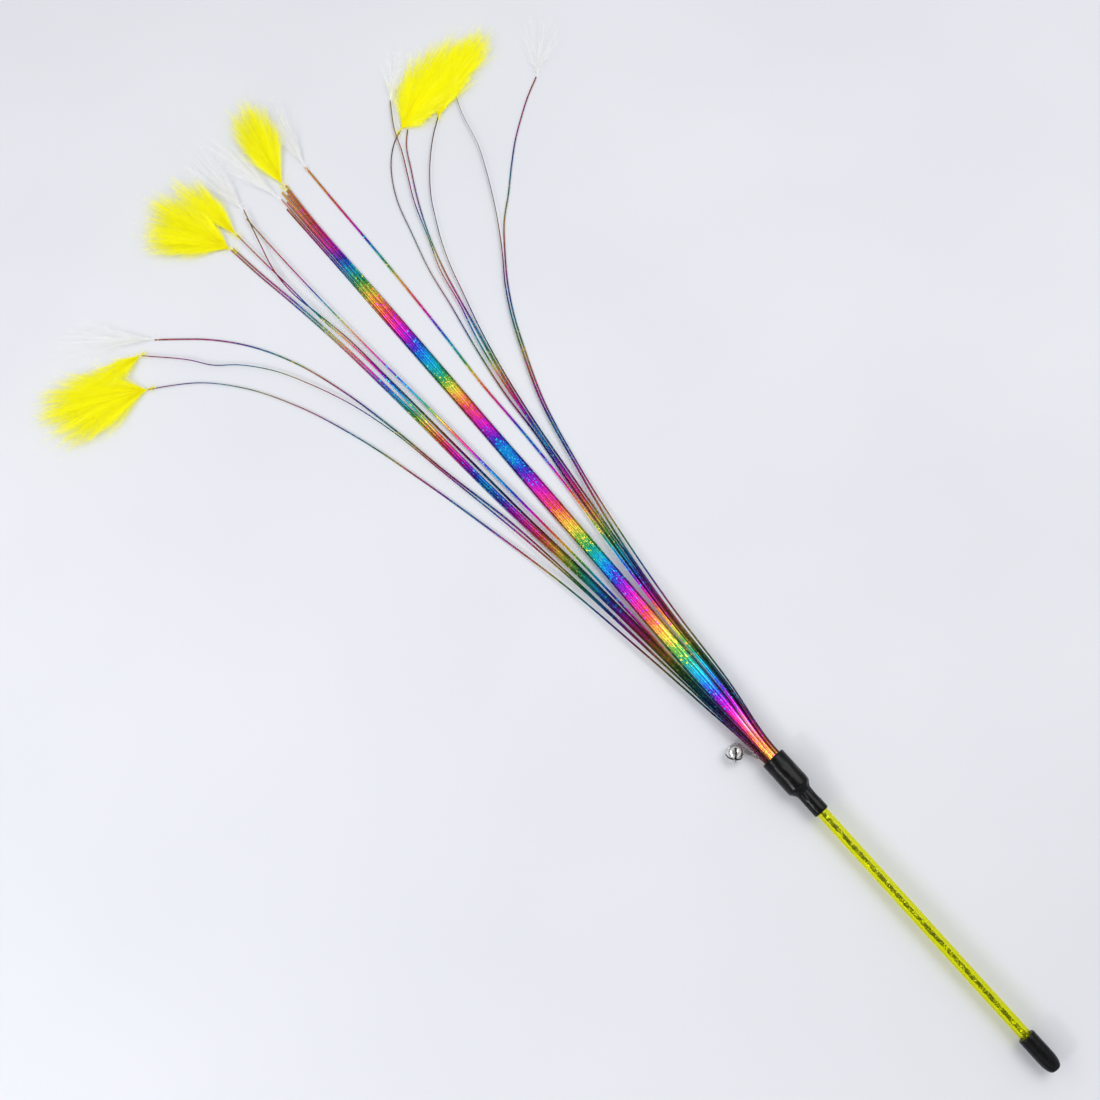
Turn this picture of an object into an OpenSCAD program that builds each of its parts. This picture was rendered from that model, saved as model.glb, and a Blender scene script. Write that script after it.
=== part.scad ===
// Feather wand: a neon tube handle, a reducing sleeve, a fan of springy film strands that
// end in feathers, and a jingle bell on a cord loop.
// +Y runs from the butt to the feathers, and the wand's axis is the Y axis.
// The wand lies on a surface at z = -sleeve_d / 2.

/* [Handle] */
// Outer diameter of the handle tube
tube_d = 6.5; // [6:0.1:7]
// Wall of the handle tube
tube_wall = 1; // [0.6:0.1:1.2]
// Length of tube that shows between the cap and the sleeve
tube_shown = 145; // [100:5:145]
// Length of tube inside the sleeve
tube_grip = 18; // [12:1:18]
// Wall of the crinkled foil inside the tube
foil_wall = 0.25; // [0.15:0.05:0.3]

/* [End cap] */
// Outer diameter of the end cap
cap_d = 9.4; // [8.6:0.2:10]
// Length of the end cap
cap_len = 20; // [16:1:24]
// Length of the rounded nose
cap_nose = 5; // [3:0.5:6]
// Diameter of the flat at the tip of the nose
cap_flat_d = 5.2; // [4:0.2:6]
// Thickness of the closed end
cap_floor = 3; // [2:0.5:4]

/* [Reducing sleeve] */
// Outer diameter at the strands' end
sleeve_d = 14; // [13.6:0.1:14.2]
// Outer diameter of the neck that grips the tube
neck_d = 8.9; // [8.4:0.1:9.6]
// Length of the neck
neck_len = 13.5; // [12:0.5:15]
// Length of the shoulder
shoulder_len = 4.7; // [4:0.1:5]
// Length of the wide end
body_len = 19.8; // [19.8:0.1:22]
// Wall of the wide end
sleeve_wall = 0.9; // [0.6:0.1:1]

/* [Strands] */
// Diameter of one film strand
strand_d = 1; // [0.6:0.1:1]
// Sideways pitch of the strands of one spray in the sleeve
root_pitch = 1.05; // [1.05:0.01:1.1]
// Pitch of the strands' rows in the sleeve
row_pitch = 1.3; // [1.2:0.05:1.4]
// Height of one strand that lies across another
layer_rise = 1.15; // [1.1:0.05:1.3]

/* [Feathers] */
// Thickness of a plume lying flat
plume_t = 3; // [2:0.5:4]

/* [Bell] */
// Outer diameter of the bell
bell_d = 10; // [9:0.5:10]
// Wall of the bell
bell_wall = 0.5; // [0.3:0.1:0.6]
// Width of the cross slots
slot_w = 1.2; // [0.8:0.1:1.4]
// Diameter of the loose ball inside
pellet_d = 3; // [2:0.5:3.5]
// Mean diameter of the eye
eye_d = 2.2; // [2.2:0.1:2.6]
// Wire of the eye
eye_wire_d = 0.6; // [0.4:0.1:0.6]
// Diameter of the cord loop
loop_d = 0.7; // [0.5:0.1:0.7]

/* [Hidden] */
$fn = 96;
hull_fn = 24;
strand_sides = 8;
table_z = -sleeve_d / 2;
tube_start = cap_floor;
sleeve_start = cap_len + tube_shown;
tube_end = sleeve_start + tube_grip;
sleeve_len = neck_len + shoulder_len + body_len;
mouth_y = sleeve_start + sleeve_len;
bore_d = sleeve_d - 2 * sleeve_wall;
seam_gap = 0.05;

// The plug fills the wide bore, and the strands and the cord loop start just off its face, with
// room for the strands' roots to tip back when a spray lifts.
plug_gap = 0.2;
root_clear = 0.7;
plug_start = sleeve_start + neck_len + shoulder_len + plug_gap;
root_y = mouth_y - 3;
straight_y = mouth_y + 3;
plug_end = root_y - root_clear;

// Neighbouring sprays stand this much further apart in the sleeve than strands of one spray.
spray_gap = 0.25;

// Strands fall from the sleeve to the surface over this length, and there the fan is spread
// by this share of its distance from a point beside the sleeve.
fall_len = 240;
settle = 0.01;
settle_from = [-162, 198];
ring_step = 15;
strand_rest_z = table_z + strand_d / 2;

// Foil: a crinkled tube with this many folds.
foil_folds = 9;
foil_out_r = tube_d / 2 - tube_wall - 0.25;
foil_in_r = foil_out_r - 0.6;
foil_end_gap = 0.5;

// Bell, lying on the surface beside the strands with its eye turned to them and down.
bell_r = bell_d / 2;
seam_r = bell_r + 0.15;
bell_pos = [-13.5, 218, table_z + bell_r];
bell_yaw = 47;
bell_tip = 35;
seam_w = 0.7;
eye_reach = bell_r + eye_d / 2 - 0.2;
slot_top = 1.2;
pellet_drop = bell_r - bell_wall - pellet_d / 2 - 0.1;

// Sprays of the fan. A strand is [name, column, row, layer, route]: its column and row say
// where it stands in the sleeve's mouth, counted from the axis, its layer says how many
// strands it lies on at its far end, and its route is a list of [x, y].
FAR_LEFT_STRANDS = [
    ["far_left_strand_1", -4, 0, 0, [[-7.6, 250], [-11.5, 300], [-15.5, 350],
        [-21, 400], [-30, 450], [-36, 490], [-44, 530], [-55, 565], [-68, 590],
        [-86, 612], [-101, 625], [-111, 633]]],
    ["far_left_strand_2", -4, 1, 1, [[-7.8, 250], [-12.3, 300], [-17, 350],
        [-23.5, 400], [-31.5, 450], [-38, 490], [-46, 520], [-56, 545], [-68, 568],
        [-82, 585], [-94, 595], [-102, 606], [-123, 628]]],
    ["far_left_strand_3", -4, -1, 0, [[-9, 250], [-15, 300], [-22, 350], [-32, 400],
        [-43, 450], [-56, 500], [-71, 540], [-88, 570], [-107, 591], [-122, 601],
        [-133, 607]]]
];
LEFT_STRANDS = [
    ["left_strand_1", -3, -1, 0, [[-6, 250], [-8.8, 300], [-12.2, 350], [-16.8, 400],
        [-19.5, 440], [-21.5, 480], [-24, 520], [-27, 560], [-31.5, 600], [-35.5, 630],
        [-38, 655]]],
    ["left_strand_2", -2, -1, 0, [[-4.8, 250], [-7.5, 300], [-10.8, 350],
        [-15.4, 400], [-18, 440], [-20, 480], [-22.4, 520], [-25.4, 560], [-29.8, 600],
        [-33.8, 630], [-36.4, 655]]],
    ["left_strand_3", -3, 0, 1, [[-5.6, 250], [-7.2, 300], [-10, 350], [-14, 400],
        [-16.8, 440], [-18.4, 480], [-19.2, 520], [-21, 550], [-24.5, 580],
        [-26, 610], [-28, 640], [-29, 661]]],
    ["left_strand_4", -3, 1, 2, [[-4.6, 250], [-6.4, 300], [-9, 350], [-12.5, 400],
        [-14.5, 440], [-16.5, 480], [-18.5, 520], [-20.5, 555], [-24, 580],
        [-27.5, 605], [-26.5, 625], [-22, 645], [-15, 673]]],
    ["left_strand_5", -2, 0, 1, [[-3.8, 250], [-4.6, 300], [-5.8, 350], [-8, 400],
        [-10.2, 450], [-12.5, 500], [-14.6, 540], [-16, 575], [-17, 610], [-17.4, 640],
        [-17.4, 667]]]
];
// The centre strip strands lie side by side between these two edges.
CENTRE_LEFT_EDGE = [[-2.4, 250], [-1.4, 300], [0.4, 350], [1.2, 400], [2.8, 450],
    [4, 500], [5, 550], [6, 600], [6.6, 640], [7, 667]];
CENTRE_RIGHT_EDGE = [[4.3, 250], [6, 300], [7.4, 350], [9, 400], [10, 450], [11.6, 500],
    [13, 550], [13.8, 600], [14.8, 640], [17, 672]];
CENTRE_ROOTS = [[-1, -1, "1"], [-1, 0, "2"], [-1, 1, "3"], [0, -1, "4"], [0, 0, "5"],
    [1, -1, "6"], [1, 0, "7"]];
CENTRE_STRANDS = concat(
    [for (i = [0:6]) [str("centre_strand_", CENTRE_ROOTS[i][2]), CENTRE_ROOTS[i][0],
        CENTRE_ROOTS[i][1], 0, between(CENTRE_LEFT_EDGE, CENTRE_RIGHT_EDGE, i / 6)]],
    [["centre_strand_8", 1, 1, 0, [[5.6, 250], [8.6, 300], [13.5, 350], [19, 400],
        [21.5, 440], [23, 480], [26.5, 520], [29.3, 560], [31.6, 600], [33.3, 640],
        [35, 676]]]]
);
RIGHT_STRANDS = [
    ["right_strand_1", 2, -1, 0, [[7, 250], [10.2, 300], [15.4, 350], [21.6, 400],
        [26.5, 434], [29.5, 465], [35.5, 500], [43, 535], [48, 561], [57, 592],
        [65, 617], [72, 631], [82, 645], [92, 654], [100, 658.5]]],
    ["right_strand_2", 2, 0, 1, [[7.2, 250], [10.8, 300], [16.4, 350], [22.8, 400],
        [28, 434], [33, 470], [40, 505], [47, 530], [54, 560], [61, 578], [73, 610],
        [82, 628], [90, 644], [97, 661], [109, 681]]],
    ["right_strand_3", 3, -1, 0, [[8.2, 250], [11.6, 300], [17.2, 350], [23.8, 400],
        [29.4, 440], [37, 480], [46.5, 520], [57, 562], [63, 580], [74.5, 607],
        [86.5, 630], [96, 647], [104, 656]]],
    ["right_strand_4", 3, 0, 1, [[8.6, 250], [12.3, 300], [18.4, 350], [25.2, 400],
        [31, 440], [38.6, 480], [45.5, 508], [54.5, 538], [60, 556], [68, 576],
        [75, 590], [82, 603], [91, 616], [101, 628], [114, 641], [125, 650]]],
    ["right_strand_5", 3, 1, 1, [[9.2, 250], [13, 300], [19.8, 350], [30.5, 400],
        [43.5, 450], [55.5, 480], [67, 505], [78, 524], [90, 541], [107, 568],
        [123, 598], [130, 613], [140, 645], [147, 661]]]
];
FAR_RIGHT_STRANDS = [
    ["far_right_strand_1", 4, 0, 0, [[11, 250], [15.8, 300], [23, 350], [32.4, 400],
        [45.4, 450], [57.5, 480], [69, 505], [80, 524], [92, 541], [108, 561],
        [122, 574], [138, 590], [153, 604], [167, 615], [181, 625], [196, 634]]]
];
STRANDS = concat(FAR_LEFT_STRANDS, LEFT_STRANDS, CENTRE_STRANDS, RIGHT_STRANDS,
    FAR_RIGHT_STRANDS);

// Plumes: [name, colour, base x, base y, heading from +X, length, width].
PLUMES = [
    ["far_left_plume_1", "ivory", -111.8, 634, 139, 62, 18],
    ["far_left_plume_2", "yellow", -124, 629, 159, 55, 12],
    ["far_left_plume_3", "yellow", -134, 607.5, 166, 60, 34],
    ["left_plume_1", "yellow", -38.4, 656.5, 128, 58, 28],
    ["left_plume_2", "yellow", -29.4, 662.5, 103, 50, 13],
    ["left_plume_3", "ivory", -15, 674.5, 94, 64, 11],
    ["centre_plume_1", "yellow", 15.6, 674.5, 82, 72, 18],
    ["centre_plume_2", "ivory", 7.4, 669, 100, 68, 8],
    ["centre_plume_3", "ivory", 35.4, 677.5, 76, 62, 14],
    ["right_plume_1", "yellow", 101.6, 659.2, 37, 76, 22],
    ["right_plume_2", "yellow", 126.2, 650.8, 42, 66, 10],
    ["right_plume_3", "yellow", 147.8, 662.2, 26, 56, 8],
    ["right_plume_4", "ivory", 109.8, 682.2, 48, 46, 12],
    ["far_right_plume_1", "ivory", 197.4, 634.8, 40, 54, 30]
];

// Cord loop: out of the sleeve below the strands, down through the bell's eye, and back along
// the surface.
LOOP_ROUTE = [[-4.5, 200, -3], [-4.6, 204, -3], [-5.3, 208, -3], [-6.4, 212, -3.2],
    [-7.2, 216, -3.4], [-7.7, 219, -3.4], [-8.5, 221.3, -3.6], [-9.7, 222.1, -4.2],
    [-10.2, 221.5, -5.2], [-10.6, 221, -6.2], [-9.8, 219.6, -6.6], [-8.6, 217, -6.6],
    [-7, 213, -6.2], [-5.6, 209, -5.2], [-4.4, 205.5, -4.3], [-3.7, 203, -3.7],
    [-3.5, 200, -3.3]];
loop_step = 1.5;

function mix(a, b, t) = a + (b - a) * t;
function fade(t) = let (u = min(max(t, 0), 1)) u * u * (3 - 2 * u);
function between(a, b, t) = [for (i = [0:len(a) - 1]) mix(a[i], b[i], t)];

// A smooth curve through the points P, with a point at least every step.
function gap(P, i) = norm(P[i + 1] - P[i]);
function slope(P, i) =
    i == 0 ? (P[1] - P[0]) / gap(P, 0)
    : i == len(P) - 1 ? (P[i] - P[i - 1]) / gap(P, i - 1)
    : let (a = gap(P, i - 1), b = gap(P, i))
        ((P[i] - P[i - 1]) * b / a + (P[i + 1] - P[i]) * a / b) / (a + b);
function on_curve(P, i, t) =
    let (d = gap(P, i), u = 1 - t)
    P[i] * u * u * (1 + 2 * t) + slope(P, i) * d * t * u * u
    + P[i + 1] * t * t * (3 - 2 * t) - slope(P, i + 1) * d * t * t * u;
function curve(P, step) = concat(
    [for (i = [0:len(P) - 2]) let (n = ceil(gap(P, i) / step))
        for (k = [0:n - 1]) on_curve(P, i, k / n)],
    [P[len(P) - 1]]
);

function settled(p) = p + settle * fade((p.y - straight_y) / fall_len) * (p - settle_from);

// A strand's height falls from its row in the sleeve to its layer on the surface.
function strand_height(s, y) =
    mix(s[2] * row_pitch, strand_rest_z + s[3] * layer_rise, fade((y - straight_y) / fall_len));
function column_x(c) =
    c * root_pitch + sign(c) * spray_gap * (abs(c) > 3 ? 2 : abs(c) > 1 ? 1 : 0);
function strand_points(s) = concat(
    [[column_x(s[1]), root_y], [column_x(s[1]), straight_y]],
    [for (p = s[4]) settled(p)]
);
function strand_route(s) = [for (p = curve(strand_points(s), ring_step))
    [p.x, p.y, strand_height(s, p.y)]];

// A tube of radius r swept along the points P.
function heading(P, i) =
    let (a = max(i - 1, 0), b = min(i + 1, len(P) - 1), d = P[b] - P[a]) d / norm(d);
function level(d) = let (s = cross(d, [0, 0, 1])) s / norm(s);
module swept_tube(P, r, sides, side_at) {
    rings = len(P);
    points = [for (i = [0:rings - 1]) let (d = heading(P, i), s = side_at(d), u = cross(s, d))
        for (k = [0:sides - 1]) P[i] + r * (cos(360 * k / sides) * s + sin(360 * k / sides) * u)];
    sides_faces = [for (i = [0:rings - 2], k = [0:sides - 1])
        let (a = i * sides + k, b = i * sides + (k + 1) % sides)
        for (f = [[a, b, b + sides], [a, b + sides, a + sides]]) f];
    ends = [[for (k = [sides - 1:-1:0]) k],
        [for (k = [0:sides - 1]) (rings - 1) * sides + k]];
    polyhedron(points, concat(sides_faces, ends));
}

module along_axis(y) {
    translate([0, y, 0]) rotate([-90, 0, 0]) children();
}

module end_cap() {
    nose = [for (a = [90:-15:0])
        [cap_flat_d / 2 + (cap_d - cap_flat_d) / 2 * cos(a), cap_nose * (1 - sin(a))]];
    lip = 0.6;
    color([0.05, 0.05, 0.05]) along_axis(0) rotate_extrude() polygon(concat(
        [[0, 0]], nose,
        [[cap_d / 2, cap_len - lip], [cap_d / 2 - lip / 2, cap_len - lip / 6],
            [cap_d / 2 - lip, cap_len], [tube_d / 2, cap_len], [tube_d / 2, cap_floor],
            [0, cap_floor]]
    ));
}

module handle_tube() {
    color([0.85, 0.95, 0.1]) along_axis(tube_start) difference() {
        cylinder(h = tube_end - tube_start, d = tube_d);
        translate([0, 0, -1]) cylinder(h = tube_end - tube_start + 2, d = tube_d - 2 * tube_wall);
    }
}

module foil_outline(inset) {
    polygon([for (k = [0:2 * foil_folds - 1])
        let (r = (k % 2 == 0 ? foil_out_r : foil_in_r) - inset, a = 180 * k / foil_folds)
        [r * cos(a), r * sin(a)]]);
}

module foil_liner() {
    color([0.6, 0.62, 0.1]) along_axis(tube_start + foil_end_gap)
        linear_extrude(tube_end - tube_start - 2 * foil_end_gap) difference() {
            foil_outline(0);
            foil_outline(foil_wall);
        }
}

module reducing_sleeve() {
    neck_r = neck_d / 2;
    body_r = sleeve_d / 2;
    lip = 0.7;
    shoulder = [for (t = [0:0.125:1])
        [mix(neck_r, body_r, fade(t)), neck_len + shoulder_len * t]];
    inner = [[bore_d / 2, sleeve_len], [bore_d / 2, neck_len + shoulder_len],
        [tube_d / 2, neck_len], [tube_d / 2, 0]];
    color([0.04, 0.04, 0.04]) along_axis(sleeve_start) rotate_extrude() polygon(concat(
        [[neck_r - lip, 0], [neck_r - lip / 4, lip / 3], [neck_r, lip]], shoulder,
        [[body_r, sleeve_len - lip], [body_r - lip / 4, sleeve_len - lip / 3],
            [body_r - lip, sleeve_len]],
        inner
    ));
}

module root_plug() {
    color([0.75, 0.7, 0.55]) along_axis(plug_start)
        cylinder(h = plug_end - plug_start, d = bore_d - 2 * seam_gap);
}

// The bell's own axis is its local Z, with the eye at +Z.
module bell_place() {
    translate(bell_pos) rotate([0, 90 + bell_tip, bell_yaw]) children();
}

module bell_shell() {
    difference() {
        sphere(r = bell_r);
        sphere(r = bell_r - bell_wall);
    }
}

module bell_cap() {
    color("silver") bell_place() {
        intersection() {
            bell_shell();
            translate([0, 0, bell_r]) cube([2 * bell_d, 2 * bell_d, 2 * bell_r], center = true);
        }
        difference() {
            cylinder(h = seam_w, r = seam_r);
            translate([0, 0, -1]) cylinder(h = seam_w + 2, r = bell_r - bell_wall / 2);
        }
    }
}

module bell_cup() {
    color("silver") bell_place() difference() {
        bell_shell();
        translate([0, 0, bell_r - seam_gap])
            cube([2 * bell_d, 2 * bell_d, 2 * bell_r], center = true);
        for (turn = [0, 90]) rotate([0, 0, turn]) {
            translate([0, 0, -bell_r])
                cube([2 * bell_d, slot_w, 2 * (bell_r - slot_top)], center = true);
            for (side = [-1, 1]) translate([side * bell_r, 0, -slot_top]) rotate([0, 90, 0])
                cylinder(h = bell_r, d = 1.5 * slot_w, center = true);
        }
    }
}

module bell_eye() {
    color("silver") bell_place() difference() {
        translate([0, 0, eye_reach]) rotate([0, 90, 0]) rotate_extrude()
            translate([eye_d / 2, 0]) circle(d = eye_wire_d, $fn = 32);
        sphere(r = bell_r);
    }
}

module bell_pellet() {
    color("dimgray") translate(bell_pos - [0, 0, pellet_drop]) sphere(d = pellet_d);
}

// The loop's rings are set out from one level direction, square to its overall run, so the
// tube doesn't turn over where it goes down through the eye.
module bell_loop() {
    run = LOOP_ROUTE[8] - LOOP_ROUTE[0];
    flat_side = level([run.x, run.y, 0]);
    color("gainsboro") swept_tube(curve(LOOP_ROUTE, loop_step), loop_d / 2, strand_sides,
        function (d) flat_side - d * (d * flat_side));
}

module strand(s) {
    color("mediumvioletred") swept_tube(strand_route(s), strand_d / 2, strand_sides,
        function (d) level(d));
}

module plume(p) {
    long = p[5];
    half = p[6] / 2;
    base = settled([p[2], p[3]]);
    mid_z = table_z + plume_t / 2;
    stations = [[0.25, 0.62, 0.85], [0.5, 1, 1], [0.78, 0.7, 0.8]];
    color(p[1]) translate([base.x, base.y, mid_z]) rotate([0, 0, p[4]]) hull() {
        translate([1.2, 0, 0]) cylinder(h = plume_t * 0.5, r = 1.2, center = true, $fn = hull_fn);
        for (at = stations) translate([long * at[0], 0, 0])
            cylinder(h = plume_t * at[2], r = half * at[1], center = true, $fn = hull_fn);
        translate([long - 2, 0, 0]) cylinder(h = plume_t * 0.4, r = 2, center = true, $fn = hull_fn);
    }
}

end_cap();
handle_tube();
foil_liner();
reducing_sleeve();
root_plug();
bell_cap();
bell_cup();
bell_eye();
bell_pellet();
bell_loop();
for (s = STRANDS) strand(s);
for (p = PLUMES) plume(p);
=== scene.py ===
"""Feather wand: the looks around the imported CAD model.

The frame is the CAD's: +Y from the butt to the feathers, +Z up. Shapes are worked out in
millimetres, as in the CAD source, and turned into metres where a mesh or a cord is made.
"""

import math
import random

import bpy
from mathutils import Matrix, Vector, noise

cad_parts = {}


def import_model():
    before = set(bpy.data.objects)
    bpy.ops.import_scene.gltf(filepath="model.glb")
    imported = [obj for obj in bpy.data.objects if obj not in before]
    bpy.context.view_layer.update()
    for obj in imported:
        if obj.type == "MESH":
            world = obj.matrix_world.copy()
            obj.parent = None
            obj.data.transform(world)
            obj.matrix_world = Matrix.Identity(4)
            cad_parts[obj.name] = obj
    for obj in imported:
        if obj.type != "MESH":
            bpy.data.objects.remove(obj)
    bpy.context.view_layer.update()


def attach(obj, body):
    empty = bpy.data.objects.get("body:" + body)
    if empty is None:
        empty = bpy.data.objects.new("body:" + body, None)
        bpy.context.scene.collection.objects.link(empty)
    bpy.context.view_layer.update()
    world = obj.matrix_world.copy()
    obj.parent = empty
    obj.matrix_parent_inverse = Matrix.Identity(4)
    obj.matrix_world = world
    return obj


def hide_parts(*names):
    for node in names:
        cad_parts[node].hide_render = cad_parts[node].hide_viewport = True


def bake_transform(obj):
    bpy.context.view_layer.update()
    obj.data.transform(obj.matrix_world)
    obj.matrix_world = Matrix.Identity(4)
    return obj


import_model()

MM = 0.001
UP = Vector((0, 0, 1))
# The surface that the wand lies on.
TABLE_Z = -7.0
# Where the strands start, leave the sleeve, and begin to spread and fall to the surface.
ROOT_Y, MOUTH_Y, STRAIGHT_Y = 200.0, 203.0, 206.0
FALL_LEN = 240.0
# Spacing of the strands' roots in the sleeve, and of strands that lie on each other.
ROOT_PITCH, SPRAY_GAP, ROW_PITCH, LAYER_RISE = 1.05, 0.25, 1.3, 1.15
STRAND_REST_Z = -6.5
# The routes are drawn level with the handle, and spread a little from this point as they fall.
SETTLE, SETTLE_FROM = 0.01, Vector((-162, 198))
scene = bpy.context.scene
scene.view_settings.view_transform = "Standard"


# ---------------------------------------------------------------- camera

def aim(obj, place, target, up):
    """Puts obj at place, looking at target."""
    ahead = (target - place).normalized()
    right = ahead.cross(up).normalized()
    top = right.cross(ahead)
    turn = Matrix((right, top, -ahead)).transposed().to_4x4()
    obj.matrix_world = Matrix.Translation(place) @ turn


IMAGE_UP = Vector((0.647, 0.762, 0))
IMAGE_RIGHT = Vector((0.762, -0.647, 0))
LOOK_AT = Vector((-0.0146, 0.3717, 0))
camera = bpy.data.objects.new("camera", bpy.data.cameras.new("camera"))
camera.data.lens = 38.8
camera.data.sensor_width = 36
camera.data.clip_start = 0.01
scene.collection.objects.link(camera)
aim(camera, Vector((-0.162, 0.198, 0.642)), LOOK_AT, IMAGE_UP)
scene.camera = camera


# ---------------------------------------------------------------- curves, as in the CAD source

def mix(a, b, t):
    """The value t of the way from a to b."""
    return a + (b - a) * t


def fade(t):
    """0 up to t = 0, 1 from t = 1, and a smooth step between."""
    u = min(max(t, 0), 1)
    return u * u * (3 - 2 * u)


def smooth_curve(points, step):
    """A smooth curve through the points, with a point at least every step."""
    P = [Vector(p) for p in points]
    gaps = [(P[i + 1] - P[i]).length for i in range(len(P) - 1)]

    def slope(i):
        if i == 0:
            return (P[1] - P[0]) / gaps[0]
        if i == len(P) - 1:
            return (P[i] - P[i - 1]) / gaps[i - 1]
        a, b = gaps[i - 1], gaps[i]
        return ((P[i] - P[i - 1]) * b / a + (P[i + 1] - P[i]) * a / b) / (a + b)

    slopes = [slope(i) for i in range(len(P))]
    out = []
    for i, d in enumerate(gaps):
        n = math.ceil(d / step)
        for k in range(n):
            t = k / n
            u = 1 - t
            out.append(
                P[i] * u * u * (1 + 2 * t) + slopes[i] * d * t * u * u
                + P[i + 1] * t * t * (3 - 2 * t) - slopes[i + 1] * d * t * t * u
            )
    out.append(P[-1])
    return out


# A strand is (number, column, row, layer, route): its column and row in the sleeve's mouth,
# how many strands it lies on at its far end, and its route in mm.
SPRAYS = {
    "far_left": [
        (1, -4, 0, 0, [(-7.6, 250), (-11.5, 300), (-15.5, 350), (-21, 400), (-30, 450),
            (-36, 490), (-44, 530), (-55, 565), (-68, 590), (-86, 612), (-101, 625),
            (-111, 633)]),
        (2, -4, 1, 1, [(-7.8, 250), (-12.3, 300), (-17, 350), (-23.5, 400), (-31.5, 450),
            (-38, 490), (-46, 520), (-56, 545), (-68, 568), (-82, 585), (-94, 595),
            (-102, 606), (-123, 628)]),
        (3, -4, -1, 0, [(-9, 250), (-15, 300), (-22, 350), (-32, 400), (-43, 450),
            (-56, 500), (-71, 540), (-88, 570), (-107, 591), (-122, 601), (-133, 607)]),
    ],
    "left": [
        (1, -3, -1, 0, [(-6, 250), (-8.8, 300), (-12.2, 350), (-16.8, 400), (-19.5, 440),
            (-21.5, 480), (-24, 520), (-27, 560), (-31.5, 600), (-35.5, 630), (-38, 655)]),
        (2, -2, -1, 0, [(-4.8, 250), (-7.5, 300), (-10.8, 350), (-15.4, 400), (-18, 440),
            (-20, 480), (-22.4, 520), (-25.4, 560), (-29.8, 600), (-33.8, 630),
            (-36.4, 655)]),
        (3, -3, 0, 1, [(-5.6, 250), (-7.2, 300), (-10, 350), (-14, 400), (-16.8, 440),
            (-18.4, 480), (-19.2, 520), (-21, 550), (-24.5, 580), (-26, 610), (-28, 640),
            (-29, 661)]),
        (4, -3, 1, 2, [(-4.6, 250), (-6.4, 300), (-9, 350), (-12.5, 400), (-14.5, 440),
            (-16.5, 480), (-18.5, 520), (-20.5, 555), (-24, 580), (-27.5, 605),
            (-26.5, 625), (-22, 645), (-15, 673)]),
        (5, -2, 0, 1, [(-3.8, 250), (-4.6, 300), (-5.8, 350), (-8, 400), (-10.2, 450),
            (-12.5, 500), (-14.6, 540), (-16, 575), (-17, 610), (-17.4, 640),
            (-17.4, 667)]),
    ],
    "centre": [],
    "right": [
        (1, 2, -1, 0, [(7, 250), (10.2, 300), (15.4, 350), (21.6, 400), (26.5, 434),
            (29.5, 465), (35.5, 500), (43, 535), (48, 561), (57, 592), (65, 617),
            (72, 631), (82, 645), (92, 654), (100, 658.5)]),
        (2, 2, 0, 1, [(7.2, 250), (10.8, 300), (16.4, 350), (22.8, 400), (28, 434),
            (33, 470), (40, 505), (47, 530), (54, 560), (61, 578), (73, 610), (82, 628),
            (90, 644), (97, 661), (109, 681)]),
        (3, 3, -1, 0, [(8.2, 250), (11.6, 300), (17.2, 350), (23.8, 400), (29.4, 440),
            (37, 480), (46.5, 520), (57, 562), (63, 580), (74.5, 607), (86.5, 630),
            (96, 647), (104, 656)]),
        (4, 3, 0, 1, [(8.6, 250), (12.3, 300), (18.4, 350), (25.2, 400), (31, 440),
            (38.6, 480), (45.5, 508), (54.5, 538), (60, 556), (68, 576), (75, 590),
            (82, 603), (91, 616), (101, 628), (114, 641), (125, 650)]),
        (5, 3, 1, 1, [(9.2, 250), (13, 300), (19.8, 350), (30.5, 400), (43.5, 450),
            (55.5, 480), (67, 505), (78, 524), (90, 541), (107, 568), (123, 598),
            (130, 613), (140, 645), (147, 661)]),
    ],
    "far_right": [
        (1, 4, 0, 0, [(11, 250), (15.8, 300), (23, 350), (32.4, 400), (45.4, 450),
            (57.5, 480), (69, 505), (80, 524), (92, 541), (108, 561), (122, 574),
            (138, 590), (153, 604), (167, 615), (181, 625), (196, 634)]),
    ],
}
CENTRE_LEFT_EDGE = [(-2.4, 250), (-1.4, 300), (0.4, 350), (1.2, 400), (2.8, 450), (4, 500),
    (5, 550), (6, 600), (6.6, 640), (7, 667)]
CENTRE_RIGHT_EDGE = [(4.3, 250), (6, 300), (7.4, 350), (9, 400), (10, 450), (11.6, 500),
    (13, 550), (13.8, 600), (14.8, 640), (17, 672)]
CENTRE_ROOTS = [(-1, -1), (-1, 0), (-1, 1), (0, -1), (0, 0), (1, -1), (1, 0)]
for i, (column, row) in enumerate(CENTRE_ROOTS):
    route = [
        (mix(a[0], b[0], i / 6), mix(a[1], b[1], i / 6))
        for a, b in zip(CENTRE_LEFT_EDGE, CENTRE_RIGHT_EDGE)
    ]
    SPRAYS["centre"].append((i + 1, column, row, 0, route))
SPRAYS["centre"].append((8, 1, 1, 0, [(5.6, 250), (8.6, 300), (13.5, 350), (19, 400),
    (21.5, 440), (23, 480), (26.5, 520), (29.3, 560), (31.6, 600), (33.3, 640), (35, 676)]))


def settled(x, y):
    """The place on the surface of a point of the fan's routes."""
    p = Vector((x, y))
    return p + SETTLE * fade((y - STRAIGHT_Y) / FALL_LEN) * (p - SETTLE_FROM)


def strand_line(column, row, layer, route, step):
    """The strand's centreline in mm, from its root in the sleeve to its plume."""
    gaps = 2 if abs(column) > 3 else 1 if abs(column) > 1 else 0
    x = column * ROOT_PITCH + math.copysign(SPRAY_GAP * gaps, column)
    flat = smooth_curve([(x, ROOT_Y), (x, STRAIGHT_Y)] + [settled(*p) for p in route], step)
    rest = STRAND_REST_Z + layer * LAYER_RISE
    return [
        Vector((p.x, p.y, mix(row * ROW_PITCH, rest, fade((p.y - STRAIGHT_Y) / FALL_LEN))))
        for p in flat
    ]


# ---------------------------------------------------------------- meshes

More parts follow.
